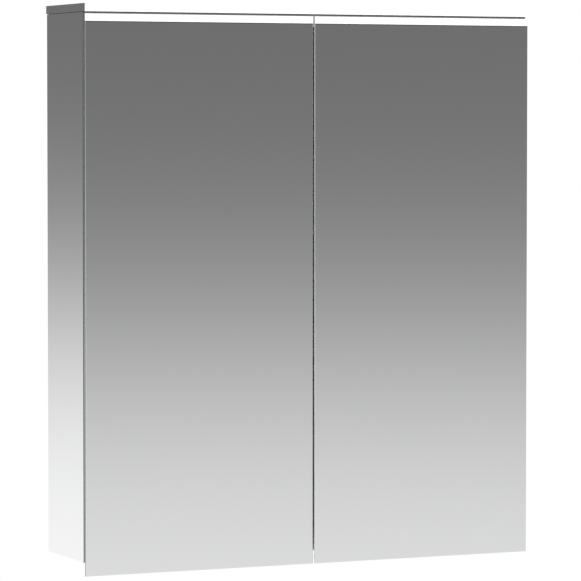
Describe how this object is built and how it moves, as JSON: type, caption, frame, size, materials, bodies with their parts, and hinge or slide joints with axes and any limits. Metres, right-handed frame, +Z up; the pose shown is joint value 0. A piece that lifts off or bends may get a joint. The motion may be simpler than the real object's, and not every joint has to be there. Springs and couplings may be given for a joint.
{
  "type": "mirror cabinet",
  "caption": "Wall-hung bathroom mirror cabinet with hinged mirror doors, mirrored sides, glass shelves and a flat light slab along the top.",
  "frame": {"origin": "on the wall, midway between the two screw holes of the wall rail", "axes": "+X to the right of a person facing the cabinet, +Y into the wall, +Z up"},
  "size_m": [0.6, 0.136, 0.692],
  "materials": {
    "mirror": "silvered glass with ground edges",
    "white_board": "white lacquered board, satin",
    "shelf_glass": "clear float glass with polished edges",
    "light_diffuser": "opal acrylic, lit from behind, satin",
    "polished_aluminium": "polished",
    "zinc_steel": "zinc plated",
    "nickel": "nickel plated",
    "contact_brass": "bright",
    "circuit_board": "white solder mask",
    "led_phosphor": "phosphor in a clear dome",
    "unit_white": "moulded, satin gloss",
    "driver_grey": "moulded, fine texture",
    "cable_jacket": "smooth matt jacket",
    "foam": "closed-cell foam",
    "clear_buffer": "translucent elastomer"
  },
  "bodies": {
    "cabinet": {"back_mirror": "mirror", "back_panel": "white_board", "bottom_panel": "white_board", "cabinet_cleat": "zinc_steel", "carcass_screws": "zinc_steel", "catch_magnets": "nickel", "channel_diffuser": "light_diffuser", "channel_led_board": "circuit_board", "door_buffers": "clear_buffer", "driver_lead": "cable_jacket", "glass_shelf_lower": "shelf_glass", "glass_shelf_middle": "shelf_glass", "glass_shelf_upper": "shelf_glass", "led_chips": "led_phosphor", "led_driver": "driver_grey", "led_lead": "cable_jacket", "left_lower_pivot_bracket": "zinc_steel", "left_side_mirror": "mirror", "left_side_panel": "white_board", "left_upper_pivot_block": "polished_aluminium", "light_channel": "polished_aluminium", "mains_gland": "driver_grey", "pivot_pins": "nickel", "power_face_plate": "unit_white", "power_housing": "unit_white", "right_lower_pivot_bracket": "zinc_steel", "right_side_mirror": "mirror", "right_side_panel": "white_board", "right_upper_pivot_block": "polished_aluminium", "shelf_pins": "nickel", "short_screws": "zinc_steel", "slab_diffuser": "light_diffuser", "slab_end_plate_left": "polished_aluminium", "slab_end_plate_right": "polished_aluminium", "slab_gasket": "foam", "slab_housing": "polished_aluminium", "slab_led_board": "circuit_board", "slab_screws": "zinc_steel", "socket_contacts": "contact_brass", "socket_cup": "unit_white", "socket_lead": "cable_jacket", "switch_pin": "nickel", "terminal_box": "driver_grey", "top_panel": "white_board", "wall_buffers": "clear_buffer", "wall_rail": "zinc_steel"},
    "left_door": {"left_door_bond": "foam", "left_door_light_strip": "light_diffuser", "left_door_mirror": "mirror", "left_door_rear_mirror": "mirror", "left_door_strike": "nickel", "left_hinge_stile": "polished_aluminium"},
    "right_door": {"right_door_bond": "foam", "right_door_light_strip": "light_diffuser", "right_door_mirror": "mirror", "right_door_rear_mirror": "mirror", "right_door_strike": "nickel", "right_hinge_stile": "polished_aluminium"},
    "rocker": {"switch_rocker": "unit_white"}
  },
  "joints": [
    {"name": "left_door_hinge", "type": "hinge", "parent": "cabinet", "child": "left_door", "pos_m": [-0.2972, -0.1309, -0.284], "axis": [0, 0, -1], "range_deg": [0, 100]},
    {"name": "right_door_hinge", "type": "hinge", "parent": "cabinet", "child": "right_door", "pos_m": [0.2972, -0.1309, -0.284], "axis": [0, 0, 1], "range_deg": [0, 100]},
    {"name": "light_switch", "type": "hinge", "parent": "cabinet", "child": "rocker", "pos_m": [0.252, -0.0685, -0.507], "axis": [1, 0, 0], "range_deg": [0, 16]}
  ]
}
